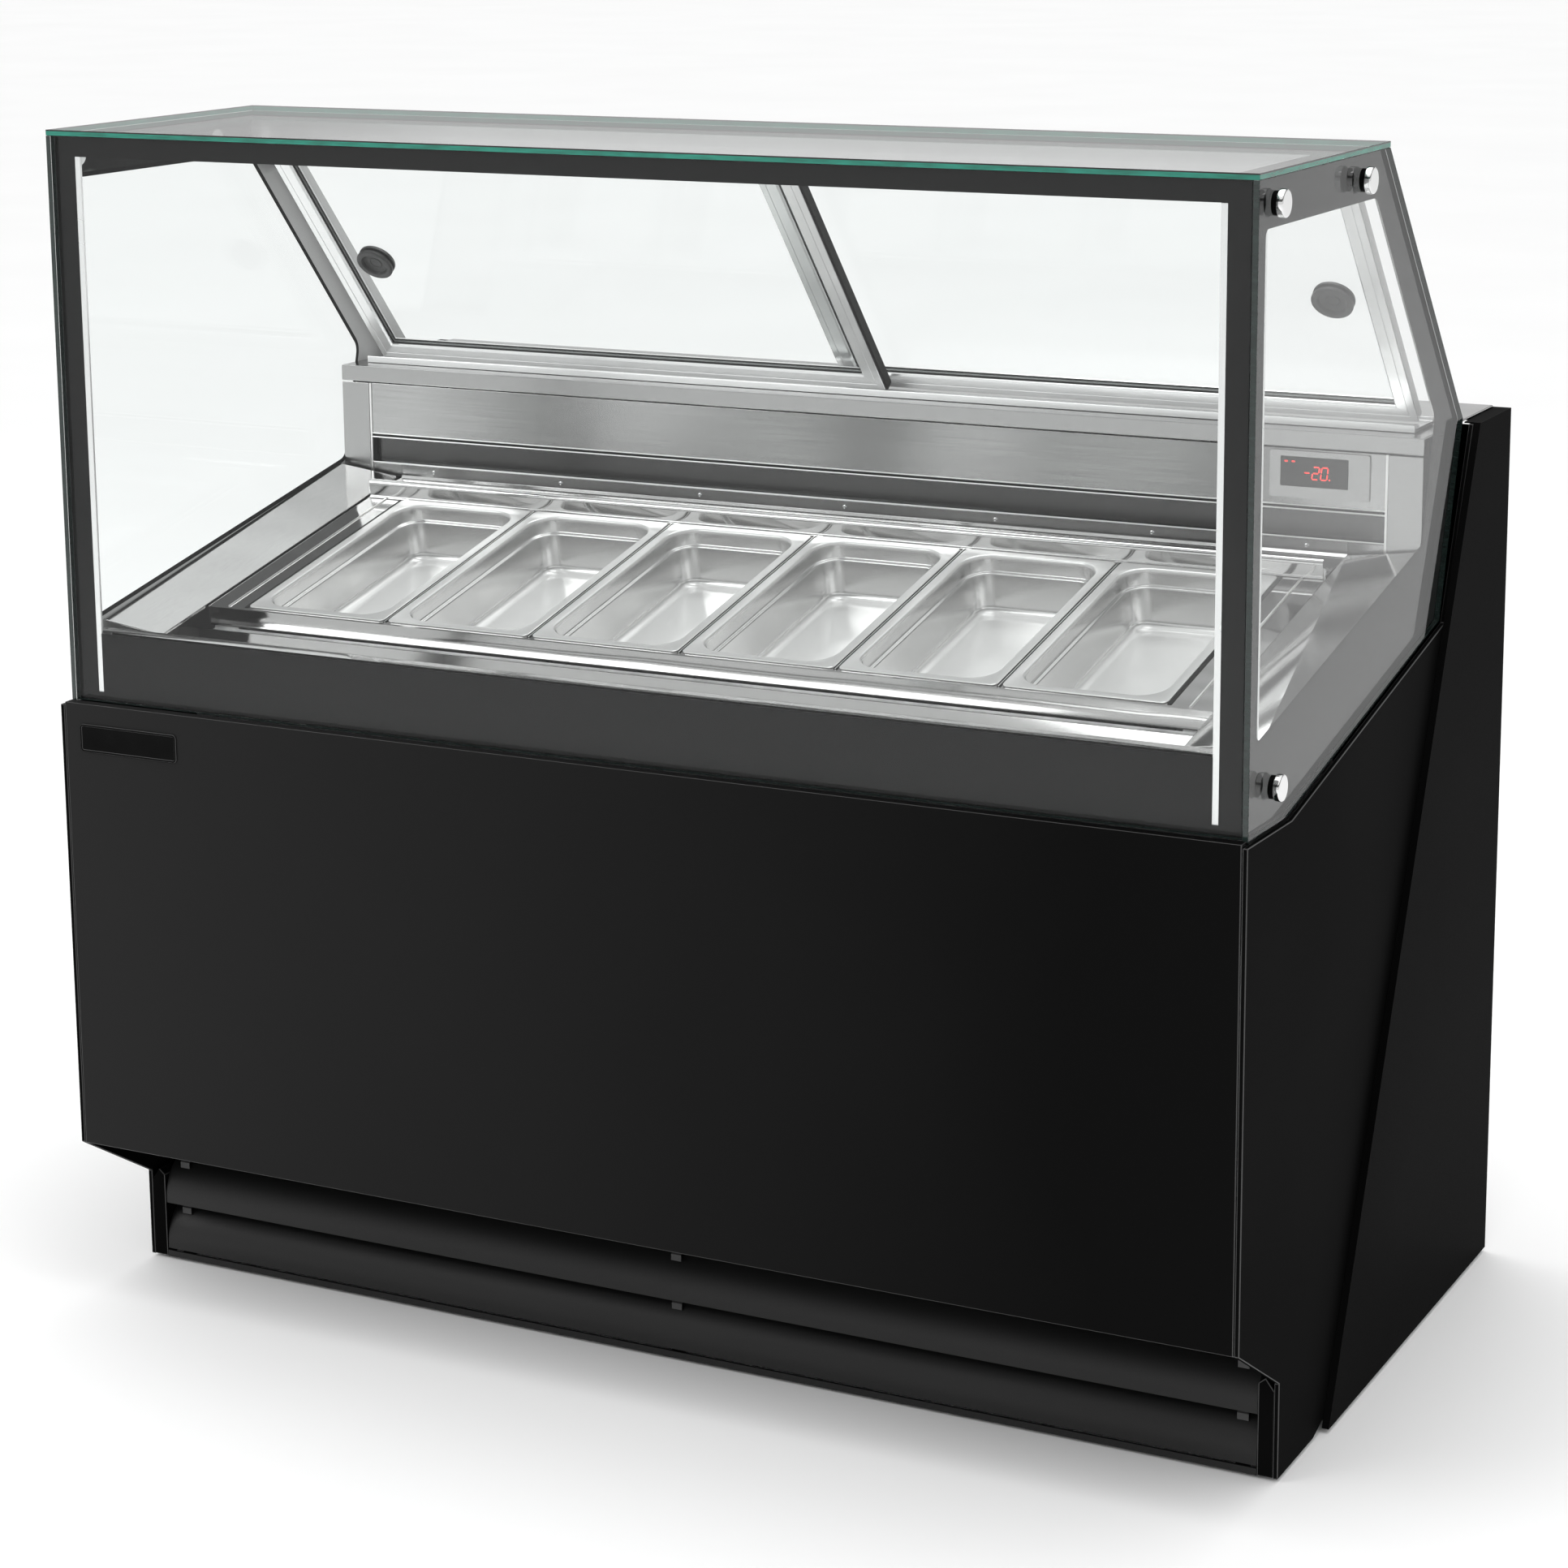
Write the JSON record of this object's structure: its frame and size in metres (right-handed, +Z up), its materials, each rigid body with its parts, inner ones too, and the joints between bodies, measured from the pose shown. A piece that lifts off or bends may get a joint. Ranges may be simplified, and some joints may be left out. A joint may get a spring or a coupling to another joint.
{
  "type": "ice cream dipping cabinet",
  "caption": "Refrigerated scooping counter: black body on a louvred kick, glass house with slanted rear sliding doors, tilted deck of lift-out steel pans.",
  "frame": {"origin": "bottom centre of the whole cabinet's box, on the floor", "axes": "+X to the customer's right along the counter, +Y towards the serving side at the back, +Z up"},
  "size_m": [1.38, 0.8018, 1.3],
  "materials": {
    "foot_rubber": "matt moulded rubber",
    "body_paint": "satin black powder coat",
    "post_paint": "satin black powder coat, grey on the inside",
    "black_plastic": "fine satin",
    "display_window": "gloss black window in a steel bezel",
    "polished_steel": "mirror-polished stainless steel",
    "brushed_steel": "fine horizontal brushing",
    "pan_steel": "satin stainless steel",
    "tank_liner": "foam-filled liner",
    "clear_glass": "clear tempered glass with a green edge and a dark printed border",
    "anodised_aluminium": "satin natural anodised",
    "door_glass": "clear glass",
    "pull_plastic": "moulded black",
    "chrome": "polished chrome cap on a black spacer",
    "compressor_iron": "black enamelled shell",
    "fin_aluminium": "thin rolled fins",
    "fan_plastic": "moulded black"
  },
  "bodies": {
    "cabinet": {"foot_front_left": "foot_rubber", "foot_front_right": "foot_rubber", "foot_rear_left": "foot_rubber", "foot_rear_right": "foot_rubber", "chassis_tray": "body_paint", "front_panel": "body_paint", "side_panel_left": "body_paint", "side_panel_right": "body_paint", "end_panel_left": "body_paint", "end_panel_right": "body_paint", "rear_cover": "body_paint", "rear_grille": "body_paint", "kick_post_left": "body_paint", "kick_post_right": "body_paint", "upper_louvre": "body_paint", "lower_louvre": "body_paint", "kick_frame": "body_paint", "rear_post_left": "post_paint", "rear_post_right": "post_paint", "name_plate": "black_plastic", "cable_gland": "black_plastic", "temperature_display": "display_window", "deck_frame": "polished_steel", "front_trough": "polished_steel", "side_shelf_left": "brushed_steel", "side_shelf_right": "brushed_steel", "rear_liner": "brushed_steel", "rear_worktop": "brushed_steel", "insulated_tank": "tank_liner", "front_glass": "clear_glass", "top_glass": "clear_glass", "side_glass_left": "clear_glass", "side_glass_right": "clear_glass", "corner_profile_left": "anodised_aluminium", "corner_profile_right": "anodised_aluminium", "lower_door_track": "anodised_aluminium", "upper_door_track": "anodised_aluminium", "glass_clamp_left_1": "chrome", "glass_clamp_left_2": "chrome", "glass_clamp_left_3": "chrome", "glass_clamp_right_1": "chrome", "glass_clamp_right_2": "chrome", "glass_clamp_right_3": "chrome", "compressor": "compressor_iron", "condenser": "fin_aluminium", "evaporator": "fin_aluminium"},
    "left_door": {"left_door_frame": "anodised_aluminium", "left_door_glass": "door_glass", "left_door_pull": "pull_plastic"},
    "right_door": {"right_door_frame": "anodised_aluminium", "right_door_glass": "door_glass", "right_door_pull": "pull_plastic"},
    "pan_1_body": {"pan_1": "pan_steel"},
    "pan_2_body": {"pan_2": "pan_steel"},
    "pan_3_body": {"pan_3": "pan_steel"},
    "pan_4_body": {"pan_4": "pan_steel"},
    "pan_5_body": {"pan_5": "pan_steel"},
    "pan_6_body": {"pan_6": "pan_steel"},
    "condenser_fan_rotor": {"condenser_fan": "fan_plastic"},
    "evaporator_fan_rotor": {"evaporator_fan": "fan_plastic"}
  },
  "joints": [
    {"name": "left_door_slide", "type": "slide", "parent": "cabinet", "child": "left_door", "axis": [1, 0, 0], "range_m": [0, 0.6]},
    {"name": "right_door_slide", "type": "slide", "parent": "cabinet", "child": "right_door", "axis": [-1, 0, 0], "range_m": [0, 0.6]},
    {"name": "pan_1_lift", "type": "slide", "parent": "cabinet", "child": "pan_1_body", "axis": [0, -0.2079, 0.9781], "range_m": [0, 0.15]},
    {"name": "pan_2_lift", "type": "slide", "parent": "cabinet", "child": "pan_2_body", "axis": [0, -0.2079, 0.9781], "range_m": [0, 0.15]},
    {"name": "pan_3_lift", "type": "slide", "parent": "cabinet", "child": "pan_3_body", "axis": [0, -0.2079, 0.9781], "range_m": [0, 0.15]},
    {"name": "pan_4_lift", "type": "slide", "parent": "cabinet", "child": "pan_4_body", "axis": [0, -0.2079, 0.9781], "range_m": [0, 0.15]},
    {"name": "pan_5_lift", "type": "slide", "parent": "cabinet", "child": "pan_5_body", "axis": [0, -0.2079, 0.9781], "range_m": [0, 0.15]},
    {"name": "pan_6_lift", "type": "slide", "parent": "cabinet", "child": "pan_6_body", "axis": [0, -0.2079, 0.9781], "range_m": [0, 0.15]},
    {"name": "condenser_fan_spin", "type": "hinge", "parent": "cabinet", "child": "condenser_fan_rotor", "pos_m": [0.27, 0.2559, 0.23], "axis": [0, 1, 0], "continuous": true},
    {"name": "evaporator_fan_spin", "type": "hinge", "parent": "cabinet", "child": "evaporator_fan_rotor", "pos_m": [0.54, 0.2209, 0.865], "axis": [0, 1, 0], "continuous": true}
  ]
}
